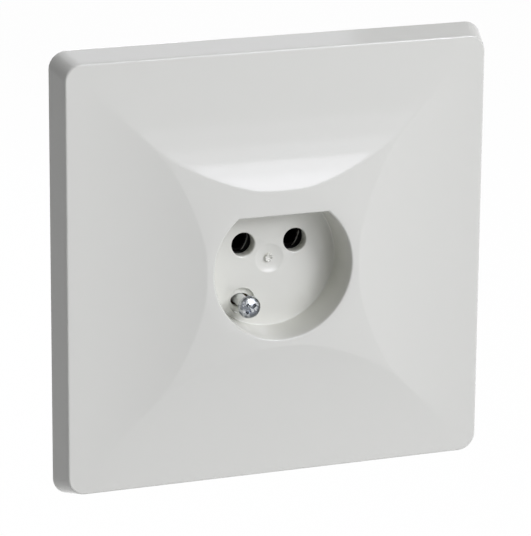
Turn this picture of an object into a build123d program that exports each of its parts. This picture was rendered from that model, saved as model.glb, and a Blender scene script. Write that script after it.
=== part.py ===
from build123d import *
import math
import os

# Flush ceiling lamp outlet: a square moulded cover with a plug well, over a contact insert on a steel yoke.
# +Z is up and +X to the right as the face is seen, and the face looks along -Y.
# Heights are measured from the ceiling plane towards the viewer, depths from it into the ceiling box.

# Cover plate
PLATE_FRONT = 85.0  # side of the square face at its front edge
RIM_HEIGHT = 9.0  # ceiling to the front edge
SIDE_DRAFT = 5.0  # degrees by which the sides flare towards the ceiling
CORNER_RADIUS = 4.0
EDGE_RADIUS = 0.8
COVER_WALL = 2.0
FACE_BORDER = 3.0  # flat strip round the face, before the scoops rise
RELIEF = 3.16  # border to the flat crown round the well
CREASE_REACH = 16.0  # middle of the plate to the nearest point of each scoop's crease
CROWN_RADIUS = 16.6  # where the flat crown turns down into the four arms
CROWN_SLOPE = 5.9  # degrees by which the arms fall towards the corners
CROWN_BLEND = 40.0  # radius that softens the crown's turn
ARM_REACH = 38.0  # middle of the plate to just past the arms' tips
RIB_THICKNESS = 1.1  # at the foot of the diagonal ribs, level with the well's floor
RIB_DRAFT = 0.5  # degrees by which their sides thicken towards the face

# Plug well
MOUTH_RADIUS = 14.1
MOUTH_FLAT = 10.7  # middle of the well to its flat top side
WELL_TAPER = 0.45  # by which the well's floor is smaller all round than its mouth
LIP_RADIUS = 0.35
FLOOR_HEIGHT = 4.1  # ceiling to the well's floor
FLOOR_THICKNESS = 2.5
WELL_WALL = 1.6
PIN_PITCH = 10.7
PIN_RISE = 3.17  # pin holes above the well's middle
PIN_HOLE_RADIUS = 2.35
DIMPLE_RADIUS = 2.95
DIMPLE_DEPTH = 0.34
GATE_RADIUS = 0.8
GATE_HEIGHT = 0.3

# Screw that holds the cover, standing partly backed out of its recess
COVER_SCREW_X = -5.6
COVER_SCREW_Z = -8.2
COVER_SCREW_RADIUS = 1.25
COVER_SCREW_LENGTH = 12.0
COVER_SCREW_LIFT = 5.6  # underside of its head above the recess floor
COVER_HEAD_RADIUS = 2.25
COVER_HEAD_HEIGHT = 1.7
SCREW_RECESS_RADIUS = 2.95
SCREW_RECESS_DEPTH = 1.7
BUSH_RADIUS = 2.2
BUSH_LENGTH = 8.0
TIP_ROOM = 4.0  # end of the bush's bore behind the bush, for the driven screw

# Steel yoke
YOKE_SIDE = 70.0
YOKE_CORNER = 8.0
YOKE_THICKNESS = 1.0
BOX_SCREW_PITCH = 60.0
BOX_SLOT_WIDTH = 4.2
BOX_SLOT_LENGTH = 7.0
YOKE_SCREW_INSET = 3.5  # side of the block's body to the screw
YOKE_SCREW_Z = 10.0

# Contact block, with the front plate and the entry disc before it and the rear cover behind it
ENTRY_DISC_RADIUS = 13.0
FRONT_PLATE_THICKNESS = 3.0
FRONT_PLATE_MARGIN = 3.0  # by which the front plate stands out all round the block
BODY_WIDTH = 40.0
BODY_TOP = 13.0
BODY_BOTTOM = -17.0
BODY_DEPTH = 20.0  # ceiling plane to the body's rear face
BLOCK_CORNER = 4.0
REAR_COVER_THICKNESS = 2.5

# Contacts, springs and terminals
PIN_BORE_RADIUS = 2.05
CONTACT_SHEET = 0.7
SLEEVE_FRONT = 0.7  # depth of the sleeve's front edge
SLEEVE_LENGTH = 12.4
SLEEVE_SLIT = 1.0
STRAP_WIDTH = 5.0  # strip that crosses from the sleeve to the terminal
SPRING_SHEET = 0.4
SPRING_START = 4.0
SPRING_LENGTH = 6.0
CAGE_WALL = 1.4
CAGE_THREAD_WALL = 2.4
CAGE_WINDOW_WIDTH = 4.8
CAGE_WINDOW_HEIGHT = 5.0
CAGE_START = 9.0
CAGE_LENGTH = 7.5
CAGE_EDGE = 0.5
WIRE_HOLE_RADIUS = 1.7
WIRE_DROP = 2.2  # wire's axis below the strap
TERMINAL_SCREW_RADIUS = 1.5
TERMINAL_SCREW_LENGTH = 6.6
TERMINAL_SCREW_REACH = 0.6  # by which its tip stands into the cage's window
TERMINAL_HEAD_RADIUS = 2.5
TERMINAL_HEAD_HEIGHT = 2.2

# Tapping screws of the yoke and the rear cover
TAPPING_RADIUS = 1.3
TAPPING_LENGTH = 8.0
TAPPING_HEAD_RADIUS = 2.4
TAPPING_HEAD_HEIGHT = 1.6
REAR_SCREW_INSET = 3.4  # top or bottom of the block's body to the screw

# Drivers' cuts in the screw heads
CROSS_WIDTH = 0.7
CROSS_SPAN = 2.6
CROSS_DEPTH = 1.0
CROSS_TURN = 42.0
SLOT_WIDTH = 0.8
HEAD_ROUNDING = 0.75  # share of a head's height that its rounded rim takes

# Clearances
SLIP = 0.05  # shank in its threaded hole, bush in its bore, spring on its sleeve
LOOSE = 0.15  # sheet-metal piece in its pocket
PASSAGE = 0.3  # disc in the yoke, screw through a passing hole, tip short of its hole's end

PLATE_HALF = PLATE_FRONT / 2
CROWN_HEIGHT = RIM_HEIGHT + RELIEF
FLARE = math.tan(math.radians(SIDE_DRAFT))
SCOOP_START = PLATE_HALF - FACE_BORDER
SCOOP_RUN = SCOOP_START - CREASE_REACH
SCOOP_RADIUS = (SCOOP_RUN**2 + RELIEF**2) / (2 * RELIEF)
FLOOR_BACK = FLOOR_HEIGHT - FLOOR_THICKNESS
FLOOR_RADIUS = MOUTH_RADIUS - WELL_TAPER
FLOOR_FLAT = MOUTH_FLAT - WELL_TAPER
RECESS_FLOOR = FLOOR_HEIGHT - SCREW_RECESS_DEPTH
BUSH_FRONT = FLOOR_BACK - SLIP
PIN_X = PIN_PITCH / 2
PINS_AT = ((-PIN_X, PIN_RISE), (PIN_X, PIN_RISE))
COVER_SCREW_AT = (COVER_SCREW_X, COVER_SCREW_Z)
SLEEVE_OUTER = PIN_BORE_RADIUS + CONTACT_SHEET
SPRING_INNER = SLEEVE_OUTER + SLIP
SPRING_OUTER = SPRING_INNER + SPRING_SHEET
STRAP_START = FRONT_PLATE_THICKNESS + LOOSE
STRAP_END = STRAP_START + STRAP_WIDTH
STRAP_TOP = PIN_RISE - PIN_BORE_RADIUS
STRAP_BOTTOM = STRAP_TOP - CONTACT_SHEET
WINDOW_REACH = SLEEVE_OUTER + LOOSE  # pin's axis to each side of the sleeve's window in the front plate
CHAMBER_REACH = SPRING_OUTER + LOOSE  # pin's axis to the sides of the chamber behind it
TERMINAL_X = (PIN_X + CHAMBER_REACH + BODY_WIDTH / 2) / 2  # midway from the spring's room to the side
TONGUE_HALF = CAGE_WINDOW_WIDTH / 2 - LOOSE
CAGE_HALF = CAGE_WINDOW_WIDTH / 2 + CAGE_WALL
CAGE_END = CAGE_START + CAGE_LENGTH
CAGE_MIDDLE = CAGE_START + CAGE_LENGTH / 2
CAGE_WINDOW_TOP = STRAP_TOP + SLIP
CAGE_WINDOW_BOTTOM = CAGE_WINDOW_TOP - CAGE_WINDOW_HEIGHT
CAGE_TOP = CAGE_WINDOW_TOP + CAGE_WALL
CAGE_BOTTOM = CAGE_WINDOW_BOTTOM - CAGE_THREAD_WALL
WIRE_HEIGHT = STRAP_BOTTOM - WIRE_DROP
WIRES_AT = ((-TERMINAL_X, WIRE_HEIGHT), (TERMINAL_X, WIRE_HEIGHT))
YOKE_SCREW_X = BODY_WIDTH / 2 - YOKE_SCREW_INSET
YOKE_SCREWS_AT = {"right": (YOKE_SCREW_X, YOKE_SCREW_Z), "left": (-YOKE_SCREW_X, -YOKE_SCREW_Z)}
REAR_SCREWS_AT = {"upper": (0, BODY_TOP - REAR_SCREW_INSET), "lower": (0, BODY_BOTTOM + REAR_SCREW_INSET)}

# Shank radius and length, then head radius and height
COVER_SCREW = (COVER_SCREW_RADIUS, COVER_SCREW_LENGTH, COVER_HEAD_RADIUS, COVER_HEAD_HEIGHT)
TAPPING_SCREW = (TAPPING_RADIUS, TAPPING_LENGTH, TAPPING_HEAD_RADIUS, TAPPING_HEAD_HEIGHT)
TERMINAL_SCREW = (TERMINAL_SCREW_RADIUS, TERMINAL_SCREW_LENGTH, TERMINAL_HEAD_RADIUS, TERMINAL_HEAD_HEIGHT)

FRONT = Plane.XZ
BLOCK_FRONT = FRONT.offset(-FRONT_PLATE_THICKNESS)
SECTION_X = Plane((0, 0, 0), x_dir=(1, 0, 0), z_dir=(0, 0, -1))  # across is X, up is towards the viewer
SECTION_Z = Plane((0, 0, 0), x_dir=(0, 0, 1), z_dir=(1, 0, 0))  # across is Z, up is towards the viewer


def save(part, label):
    """Labels a finished piece and writes its STEP file."""
    part.label = label
    export_step(part, f"parts/{label}.step")


def span(x0, x1, y0, y1, mode=Mode.ADD):
    """Rectangle between two corners, drawn in the active sketch."""
    with Locations(((x0 + x1) / 2, (y0 + y1) / 2)):
        Rectangle(x1 - x0, y1 - y0, mode=mode)


def d_outline(radius, flat):
    """Circle with its top cut off straight, drawn in the active sketch."""
    Circle(radius)
    span(-2 * radius, 2 * radius, flat, 2 * radius, mode=Mode.SUBTRACT)


def block_outline(margin):
    """The contact block's rounded rectangle, drawn in the active sketch."""
    with Locations((0, (BODY_TOP + BODY_BOTTOM) / 2)):
        width = BODY_WIDTH + 2 * margin
        height = BODY_TOP - BODY_BOTTOM + 2 * margin
        RectangleRounded(width, height, BLOCK_CORNER + margin)


def scoop_section(plane, drop):
    """Section across the plate: the flat border, then a hollow curve up to a ridge over the middle."""
    rim = RIM_HEIGHT - drop
    ridge = rim + SCOOP_RADIUS - math.sqrt(SCOOP_RADIUS**2 - SCOOP_START**2)
    side = PLATE_FRONT
    foot = -RIM_HEIGHT
    with BuildSketch(plane) as section:
        with BuildLine():
            Polyline((-SCOOP_START, rim), (-side, rim), (-side, foot), (side, foot))
            Polyline((side, foot), (side, rim), (SCOOP_START, rim))
            TangentArc((SCOOP_START, rim), (0, ridge), tangent=(-1, 0))
            TangentArc((-SCOOP_START, rim), (0, ridge), tangent=(1, 0))
        make_face()
    return section.sketch


def crown_section(plane, drop):
    """Half section of the crown: flat round the well, falling along the arms, and open past their tips."""
    top = CROWN_HEIGHT - drop
    tip = top - (ARM_REACH - CROWN_RADIUS) * math.tan(math.radians(CROWN_SLOPE))
    side = PLATE_FRONT
    roof = 2 * CROWN_HEIGHT
    foot = -RIM_HEIGHT
    with BuildSketch(plane) as section:
        with BuildLine():
            crown = FilletPolyline((0, top), (CROWN_RADIUS, top), (ARM_REACH, tip), radius=CROWN_BLEND)
            Polyline(crown @ 1, (ARM_REACH, roof), (side, roof), (side, foot), (0, foot), crown @ 0)
        make_face()
    return section.sketch


def crowned_block(inset):
    """The plate's outer form or, with an inset, the hollow inside it."""
    foot = PLATE_HALF + RIM_HEIGHT * FLARE - inset
    head = PLATE_HALF - RELIEF * FLARE - inset
    with BuildPart() as block:
        with BuildSketch(FRONT):
            RectangleRounded(2 * foot, 2 * foot, CORNER_RADIUS + RIM_HEIGHT * FLARE - inset)
        with BuildSketch(FRONT.offset(CROWN_HEIGHT)):
            RectangleRounded(2 * head, 2 * head, CORNER_RADIUS - RELIEF * FLARE - inset)
        loft()
        extrude(scoop_section(SECTION_X, inset), amount=PLATE_FRONT, both=True, mode=Mode.INTERSECT)
        extrude(scoop_section(SECTION_Z, inset), amount=PLATE_FRONT, both=True, mode=Mode.INTERSECT)
        revolve(crown_section(SECTION_X, inset), axis=Axis.Y, mode=Mode.INTERSECT)
    return block.part


def towards_viewer(x, height, z):
    """Plane parallel to the ceiling at a height above it, on which a screw's head sits."""
    return Plane((x, -height, z), x_dir=(1, 0, 0), z_dir=(0, -1, 0))


def headed_screw(plane, shank_radius, shank_length, head_radius, head_height, cross):
    """Screw whose round-rimmed head sits on the plane's positive side, with a cross or a straight slot."""
    along = Axis(plane.origin, plane.z_dir)
    with BuildPart() as screw:
        with BuildSketch(plane):
            Circle(head_radius)
        extrude(amount=head_height)
        fillet(screw.faces().sort_by(along)[-1].edges(), head_height * HEAD_ROUNDING)
        with BuildSketch(plane):
            Circle(shank_radius)
        extrude(amount=-shank_length)
        chamfer(screw.faces().sort_by(along)[0].edges(), shank_radius / 3)
        with BuildSketch(plane.offset(head_height)):
            if cross:
                Rectangle(CROSS_SPAN, CROSS_WIDTH, rotation=CROSS_TURN)
                Rectangle(CROSS_WIDTH, CROSS_SPAN, rotation=CROSS_TURN)
            else:
                Rectangle(3 * head_radius, SLOT_WIDTH)
        extrude(amount=-CROSS_DEPTH, mode=Mode.SUBTRACT)
    return screw.part


os.makedirs("parts", exist_ok=True)

# Cover plate: a crowned shell with the plug well's wall hanging from its crown, and ribs behind its corners
with BuildPart() as cover_hollow:
    add(crowned_block(COVER_WALL))
    with BuildSketch(FRONT.offset(FLOOR_HEIGHT)):
        d_outline(FLOOR_RADIUS + WELL_WALL, FLOOR_FLAT + WELL_WALL)
    extrude(amount=CROWN_HEIGHT, mode=Mode.SUBTRACT)
    with BuildSketch(FRONT.offset(FLOOR_HEIGHT)):
        Rectangle(2 * PLATE_FRONT, RIB_THICKNESS, rotation=45)
        Rectangle(2 * PLATE_FRONT, RIB_THICKNESS, rotation=-45)
    extrude(amount=CROWN_HEIGHT, taper=-RIB_DRAFT, mode=Mode.SUBTRACT)

with BuildPart() as cover_plate:
    add(crowned_block(0))
    front_edges = cover_plate.faces().filter_by(Axis.Y).sort_by(Axis.Y)[-2].outer_wire().edges()
    fillet(front_edges, EDGE_RADIUS)
    add(cover_hollow.part, mode=Mode.SUBTRACT)
    with BuildSketch(FRONT.offset(FLOOR_HEIGHT)):
        d_outline(FLOOR_RADIUS, FLOOR_FLAT)
    with BuildSketch(FRONT.offset(CROWN_HEIGHT)):
        d_outline(MOUTH_RADIUS, MOUTH_FLAT)
    loft(mode=Mode.SUBTRACT)
    crown = cover_plate.faces().filter_by(Axis.Y).sort_by(Axis.Y)[0]
    fillet(crown.inner_wires()[0].edges(), LIP_RADIUS)
save(cover_plate.part, "cover_plate")

# Well floor: welded to the end of the well's wall, with the pin holes and the cover screw's recess
with BuildPart() as well_floor:
    with BuildSketch(FRONT.offset(FLOOR_BACK)):
        d_outline(FLOOR_RADIUS + WELL_WALL, FLOOR_FLAT + WELL_WALL)
        with Locations(PINS_AT):
            Circle(PIN_HOLE_RADIUS, mode=Mode.SUBTRACT)
        with Locations(COVER_SCREW_AT):
            Circle(COVER_SCREW_RADIUS + PASSAGE, mode=Mode.SUBTRACT)
    extrude(amount=FLOOR_THICKNESS)
    with BuildSketch(FRONT.offset(FLOOR_HEIGHT)):
        with Locations(COVER_SCREW_AT):
            Circle(SCREW_RECESS_RADIUS)
    extrude(amount=-SCREW_RECESS_DEPTH, mode=Mode.SUBTRACT)

    # Shallow dished spot with the stub of the moulding gate in its middle
    dish_radius = (DIMPLE_RADIUS**2 + DIMPLE_DEPTH**2) / (2 * DIMPLE_DEPTH)
    with Locations((0, DIMPLE_DEPTH - FLOOR_HEIGHT - dish_radius, 0)):
        Sphere(dish_radius, mode=Mode.SUBTRACT)
    with BuildSketch(FRONT.offset(FLOOR_HEIGHT - FLOOR_THICKNESS / 2)):
        Circle(GATE_RADIUS)
    extrude(amount=FLOOR_THICKNESS / 2 - DIMPLE_DEPTH + GATE_HEIGHT)
save(well_floor.part, "well_floor")

# Screw that holds the cover, and the threaded bush that it turns in
with BuildPart() as cover_screw:
    seat = towards_viewer(COVER_SCREW_X, RECESS_FLOOR + COVER_SCREW_LIFT, COVER_SCREW_Z)
    add(headed_screw(seat, *COVER_SCREW, cross=True))
save(cover_screw.part, "cover_screw")

with BuildPart() as cover_screw_bush:
    with BuildSketch(FRONT.offset(BUSH_FRONT)):
        with Locations(COVER_SCREW_AT):
            Circle(BUSH_RADIUS)
            Circle(COVER_SCREW_RADIUS + SLIP, mode=Mode.SUBTRACT)
    extrude(amount=-BUSH_LENGTH)
save(cover_screw_bush.part, "cover_screw_bush")

# Entry disc: lies in the yoke's hole behind the well's floor and leads the pins to their sleeves
with BuildPart() as entry_disc:
    with BuildSketch(FRONT):
        Circle(ENTRY_DISC_RADIUS)
        with Locations(PINS_AT):
            Circle(PIN_HOLE_RADIUS, mode=Mode.SUBTRACT)
        with Locations(COVER_SCREW_AT):
            Circle(BUSH_RADIUS + SLIP, mode=Mode.SUBTRACT)
    extrude(amount=FLOOR_BACK)
save(entry_disc.part, "entry_disc")

# Front plate: lies behind the yoke, closes the block's chambers and holds the sleeves' front ends
with BuildPart() as front_plate:
    with BuildSketch(FRONT):
        block_outline(FRONT_PLATE_MARGIN)
        with Locations(PINS_AT):
            Rectangle(2 * WINDOW_REACH, 2 * WINDOW_REACH, mode=Mode.SUBTRACT)
        with Locations(COVER_SCREW_AT):
            Circle(BUSH_RADIUS + SLIP, mode=Mode.SUBTRACT)
        with Locations(*YOKE_SCREWS_AT.values()):
            Circle(TAPPING_RADIUS + PASSAGE, mode=Mode.SUBTRACT)
    extrude(amount=-FRONT_PLATE_THICKNESS)
save(front_plate.part, "front_plate")

# Contact block: dark moulding with a chamber through it for each pole, and drivers' notches under them
with BuildPart() as contact_block:
    inner_side = PIN_X - CHAMBER_REACH
    cage_side = TERMINAL_X - CAGE_HALF - LOOSE
    outer_side = TERMINAL_X + CAGE_HALF + LOOSE
    chamber_top = PIN_RISE + CHAMBER_REACH
    with BuildSketch(BLOCK_FRONT):
        block_outline(0)
        span(inner_side, outer_side, PIN_RISE - CHAMBER_REACH, chamber_top, Mode.SUBTRACT)
        span(cage_side, outer_side, CAGE_BOTTOM - LOOSE, chamber_top, Mode.SUBTRACT)
        span(-outer_side, -inner_side, PIN_RISE - CHAMBER_REACH, chamber_top, Mode.SUBTRACT)
        span(-outer_side, -cage_side, CAGE_BOTTOM - LOOSE, chamber_top, Mode.SUBTRACT)
    extrude(amount=FRONT_PLATE_THICKNESS - BODY_DEPTH)
    notch_half = TERMINAL_HEAD_RADIUS + PASSAGE
    with BuildSketch(Plane.XY.offset(BODY_BOTTOM)):
        span(TERMINAL_X - notch_half, TERMINAL_X + notch_half, CAGE_MIDDLE - notch_half, BODY_DEPTH)
        span(-TERMINAL_X - notch_half, -TERMINAL_X + notch_half, CAGE_MIDDLE - notch_half, BODY_DEPTH)
    extrude(amount=CAGE_BOTTOM - BODY_BOTTOM, mode=Mode.SUBTRACT)

    # Bush and tapping-screw holes
    bush_room = BUSH_LENGTH + TIP_ROOM - BUSH_FRONT - FRONT_PLATE_THICKNESS
    with BuildSketch(BLOCK_FRONT):
        with Locations(COVER_SCREW_AT):
            Circle(BUSH_RADIUS + SLIP)
    extrude(amount=-bush_room, mode=Mode.SUBTRACT)
    yoke_screw_room = TAPPING_LENGTH + PASSAGE - YOKE_THICKNESS - FRONT_PLATE_THICKNESS
    with BuildSketch(BLOCK_FRONT):
        with Locations(*YOKE_SCREWS_AT.values()):
            Circle(TAPPING_RADIUS + SLIP)
    extrude(amount=-yoke_screw_room, mode=Mode.SUBTRACT)
    with BuildSketch(FRONT.offset(-BODY_DEPTH)):
        with Locations(*REAR_SCREWS_AT.values()):
            Circle(TAPPING_RADIUS + SLIP)
    extrude(amount=TAPPING_LENGTH - REAR_COVER_THICKNESS + PASSAGE, mode=Mode.SUBTRACT)
save(contact_block.part, "contact_block")

# Rear cover: closes the chambers, and its two posts hold the cages in and guide the wires
with BuildPart() as rear_cover:
    with BuildSketch(FRONT.offset(-BODY_DEPTH)):
        block_outline(0)
    extrude(amount=-REAR_COVER_THICKNESS)
    with BuildSketch(FRONT.offset(-BODY_DEPTH)):
        span(TERMINAL_X - CAGE_HALF, TERMINAL_X + CAGE_HALF, CAGE_BOTTOM, CAGE_TOP)
        span(-TERMINAL_X - CAGE_HALF, -TERMINAL_X + CAGE_HALF, CAGE_BOTTOM, CAGE_TOP)
    extrude(amount=BODY_DEPTH - CAGE_END)
    with BuildSketch(FRONT.offset(-CAGE_END)):
        with Locations(WIRES_AT):
            Circle(WIRE_HOLE_RADIUS)
    extrude(amount=CAGE_END - BODY_DEPTH - REAR_COVER_THICKNESS, mode=Mode.SUBTRACT)
    with BuildSketch(FRONT.offset(-BODY_DEPTH)):
        with Locations(*REAR_SCREWS_AT.values()):
            Circle(TAPPING_RADIUS + PASSAGE)
    extrude(amount=-REAR_COVER_THICKNESS, mode=Mode.SUBTRACT)
save(rear_cover.part, "rear_cover")

# Steel yoke: flat plate on the ceiling round the boss, with a slot for a box screw on each side
with BuildPart() as mounting_yoke:
    with BuildSketch(FRONT):
        RectangleRounded(YOKE_SIDE, YOKE_SIDE, YOKE_CORNER)
        Circle(ENTRY_DISC_RADIUS + PASSAGE, mode=Mode.SUBTRACT)
        with PolarLocations(BOX_SCREW_PITCH / 2, 4):
            SlotOverall(BOX_SLOT_LENGTH, BOX_SLOT_WIDTH, mode=Mode.SUBTRACT)
        with Locations(*YOKE_SCREWS_AT.values()):
            Circle(TAPPING_RADIUS + PASSAGE, mode=Mode.SUBTRACT)
    extrude(amount=YOKE_THICKNESS)
save(mounting_yoke.part, "mounting_yoke")

# Tapping screws: two through the yoke into the block, two through the rear cover
for place, (x, z) in YOKE_SCREWS_AT.items():
    with BuildPart() as yoke_screw:
        seat = towards_viewer(x, YOKE_THICKNESS, z)
        add(headed_screw(seat, *TAPPING_SCREW, cross=True))
    save(yoke_screw.part, f"yoke_screw_{place}")

for place, (x, z) in REAR_SCREWS_AT.items():
    with BuildPart() as rear_cover_screw:
        seat = Plane((x, BODY_DEPTH + REAR_COVER_THICKNESS, z), x_dir=(1, 0, 0), z_dir=(0, 1, 0))
        add(headed_screw(seat, *TAPPING_SCREW, cross=True))
    save(rear_cover_screw.part, f"rear_cover_screw_{place}")

# Line contact: brass strip rolled into a slit sleeve, with a strap that turns back into the terminal
with BuildPart() as line_contact:
    with BuildSketch(FRONT.offset(-SLEEVE_FRONT)):
        with Locations((PIN_X, PIN_RISE)):
            Circle(SLEEVE_OUTER)
            Circle(PIN_BORE_RADIUS, mode=Mode.SUBTRACT)
            slit_from = (Align.MIN, Align.CENTER)
            Rectangle(2 * SLEEVE_OUTER, SLEEVE_SLIT, rotation=-45, align=slit_from, mode=Mode.SUBTRACT)
    extrude(amount=-SLEEVE_LENGTH)
    with BuildSketch(Plane.XY.offset(STRAP_BOTTOM)):
        span(PIN_X, TERMINAL_X + TONGUE_HALF, STRAP_START, STRAP_END)
        span(TERMINAL_X - TONGUE_HALF, TERMINAL_X + TONGUE_HALF, STRAP_START, CAGE_END)
    extrude(amount=CONTACT_SHEET)

# Steel spring that grips the sleeve, open where the strap leaves it
with BuildPart() as line_contact_spring:
    with BuildSketch(FRONT.offset(-SPRING_START)):
        with Locations((PIN_X, PIN_RISE)):
            Circle(SPRING_OUTER)
            Circle(SPRING_INNER, mode=Mode.SUBTRACT)
        span(PIN_X, PIN_X + SPRING_OUTER, PIN_RISE - SPRING_OUTER, PIN_RISE, mode=Mode.SUBTRACT)
    extrude(amount=-SPRING_LENGTH)

# Brass terminal cage round the strap's tongue, with the wall that the clamping screw turns in
with BuildPart() as line_terminal_cage:
    with BuildSketch(FRONT.offset(-CAGE_START)) as cage_section:
        span(TERMINAL_X - CAGE_HALF, TERMINAL_X + CAGE_HALF, CAGE_BOTTOM, CAGE_TOP)
        fillet(cage_section.vertices(), CAGE_EDGE)
        window_start = TERMINAL_X - CAGE_WINDOW_WIDTH / 2
        window_end = TERMINAL_X + CAGE_WINDOW_WIDTH / 2
        span(window_start, window_end, CAGE_WINDOW_BOTTOM, CAGE_WINDOW_TOP, Mode.SUBTRACT)
    extrude(amount=-CAGE_LENGTH)
    with BuildSketch(Plane.XY.offset(CAGE_BOTTOM)):
        with Locations((TERMINAL_X, CAGE_MIDDLE)):
            Circle(TERMINAL_SCREW_RADIUS + SLIP)
    extrude(amount=CAGE_THREAD_WALL, mode=Mode.SUBTRACT)

with BuildPart() as line_terminal_screw:
    head_seat = CAGE_WINDOW_BOTTOM + TERMINAL_SCREW_REACH - TERMINAL_SCREW_LENGTH
    seat = Plane((TERMINAL_X, CAGE_MIDDLE, head_seat), x_dir=(1, 0, 0), z_dir=(0, 0, -1))
    add(headed_screw(seat, *TERMINAL_SCREW, cross=False))

# The neutral side mirrors the line side
LINE_PIECES = {
    "contact": line_contact,
    "contact_spring": line_contact_spring,
    "terminal_cage": line_terminal_cage,
    "terminal_screw": line_terminal_screw,
}
for piece, line_piece in LINE_PIECES.items():
    with BuildPart() as neutral_piece:
        mirror(line_piece.part, about=Plane.YZ)
    save(line_piece.part, f"line_{piece}")
    save(neutral_piece.part, f"neutral_{piece}")
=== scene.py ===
import math
import random

import bmesh
import bpy
from mathutils import Matrix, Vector
from mathutils.geometry import delaunay_2d_cdt


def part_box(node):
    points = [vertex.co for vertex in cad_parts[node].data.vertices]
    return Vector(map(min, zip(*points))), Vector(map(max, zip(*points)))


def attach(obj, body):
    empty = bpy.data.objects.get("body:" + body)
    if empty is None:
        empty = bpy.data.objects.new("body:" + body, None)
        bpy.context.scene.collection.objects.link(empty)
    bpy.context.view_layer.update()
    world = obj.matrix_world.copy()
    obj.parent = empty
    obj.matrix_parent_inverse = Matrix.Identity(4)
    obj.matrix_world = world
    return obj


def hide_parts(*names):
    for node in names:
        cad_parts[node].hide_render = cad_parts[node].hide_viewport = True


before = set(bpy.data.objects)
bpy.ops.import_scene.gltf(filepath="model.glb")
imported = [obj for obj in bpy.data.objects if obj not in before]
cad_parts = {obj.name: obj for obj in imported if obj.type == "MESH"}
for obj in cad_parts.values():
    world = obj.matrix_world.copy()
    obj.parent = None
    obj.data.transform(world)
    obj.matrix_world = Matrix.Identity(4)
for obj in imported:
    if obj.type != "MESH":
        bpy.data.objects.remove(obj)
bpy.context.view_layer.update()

# Mounting yoke: a square of galvanised steel sheet, punched with a slot for a box screw on each side
# and a round hole for the entry disc. It lies on the ceiling and carries the rest.

MM = 0.001
YOKE_EDGE = 0.12  # width of its broken edges
SPANGLE_SIZE = 3.2  # crystals of the zinc
DULLING_SIZE = 0.6
SPANGLE_DARK = (0.47, 0.48, 0.5, 1)
SPANGLE_PALE = (0.68, 0.69, 0.7, 1)
SAME_POINT = 0.002  # distance within which a CAD mesh's loose points are one
FLAT_ANGLE = 0.5  # degrees within which a CAD mesh's triangles are one face
BROKEN_ANGLE = 35  # degrees from which an edge is broken


class Wire:
    """A socket in a node tree. Arithmetic on it adds Math nodes, and node() adds any other node."""

    def __init__(self, tree, socket=None):
        self.tree = tree
        self.socket = socket

    def node(self, kind, settings=None, sockets=None, output=0):
        made = self.tree.nodes.new(kind)
        for name, value in (settings or {}).items():
            setattr(made, name, value)
        for name, value in (sockets or {}).items():
            if isinstance(value, Wire):
                self.tree.links.new(value.socket, made.inputs[name])
            else:
                made.inputs[name].default_value = value
        return Wire(self.tree, made.outputs[output] if made.outputs else None)

    def beside(self, output):
        """Another output of the node that this socket is on."""
        return Wire(self.tree, self.socket.node.outputs[output])

    def axes(self):
        """X, Y and Z of a vector."""
        split = self.node("ShaderNodeSeparateXYZ", {}, {0: self})
        return [split.beside(axis) for axis in "XYZ"]

    def math(self, operation, *values):
        return self.node("ShaderNodeMath", {"operation": operation}, dict(enumerate(values)))

    def __add__(self, other):
        return self.math("ADD", self, other)

    def __sub__(self, other):
        return self.math("SUBTRACT", self, other)

    def __rsub__(self, other):
        return self.math("SUBTRACT", other, self)

    def __mul__(self, other):
        return self.math("MULTIPLY", self, other)

    def __truediv__(self, other):
        return self.math("DIVIDE", self, other)

    def __pow__(self, other):
        return self.math("POWER", self, other)

    def __abs__(self):
        return self.math("ABSOLUTE", self)

    __radd__ = __add__
    __rmul__ = __mul__


def new_finish(name):
    """A material with an empty tree, that tree, and the piece's own coordinates in it."""
    material = bpy.data.materials.new(name)
    material.use_nodes = True
    material.node_tree.nodes.clear()
    tree = Wire(material.node_tree)
    return material, tree, tree.node("ShaderNodeTexCoord", output="Object")


def noise(tree, place, size, detail=2.0):
    """Cloudy noise with spots of about that many millimetres."""
    sockets = {"Vector": place, "Scale": 1 / (size * MM), "Detail": detail}
    return tree.node("ShaderNodeTexNoise", {}, sockets, "Fac")


def step_between(tree, value, low, high):
    """0 below low, 1 above high, and a soft step between them."""
    sockets = {"Value": value, "From Min": low, "From Max": high}
    return tree.node("ShaderNodeMapRange", {"interpolation_type": "SMOOTHSTEP"}, sockets)


def tint(tree, share, first, second):
    """The first colour, turning into the second where share is 1."""
    return tree.node("ShaderNodeMix", {"data_type": "RGBA"}, {0: share, 6: first, 7: second}, 2)


def relief_normal(tree, height, depth):
    """Normal of a surface whose height from 0 to 1 is that many millimetres deep."""
    return tree.node("ShaderNodeBump", {}, {"Height": height, "Distance": depth * MM})


def close_finish(tree, sockets):
    """Ends a material in its one shader."""
    shader = tree.node("ShaderNodeBsdfPrincipled", {}, sockets)
    tree.node("ShaderNodeOutputMaterial", {}, {"Surface": shader})


def add_piece(name, mesh):
    piece = bpy.data.objects.new(name, mesh)
    bpy.context.scene.collection.objects.link(piece)
    return piece


def piece_of(name, form):
    """A piece with the mesh of a form that was built up in memory."""
    mesh = bpy.data.meshes.new(name)
    form.to_mesh(mesh)
    form.free()
    return add_piece(name, mesh)


def settle(piece):
    """Turns a piece and its modifiers into a plain mesh."""
    bpy.context.view_layer.update()
    graph = bpy.context.evaluated_depsgraph_get()
    plain = bpy.data.meshes.new_from_object(piece.evaluated_get(graph), depsgraph=graph)
    piece.modifiers.clear()
    piece.data = plain
    plain.name = piece.name
    return piece


def smooth_off(piece, sharp=30):
    """Smooth shading between sharp edges, with large faces kept flat."""
    piece.data.shade_smooth()
    piece.data.set_sharp_from_angle(angle=math.radians(sharp))
    weighted = piece.modifiers.new("large faces stay flat", "WEIGHTED_NORMAL")
    weighted.keep_sharp = True
    return settle(piece)


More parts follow.
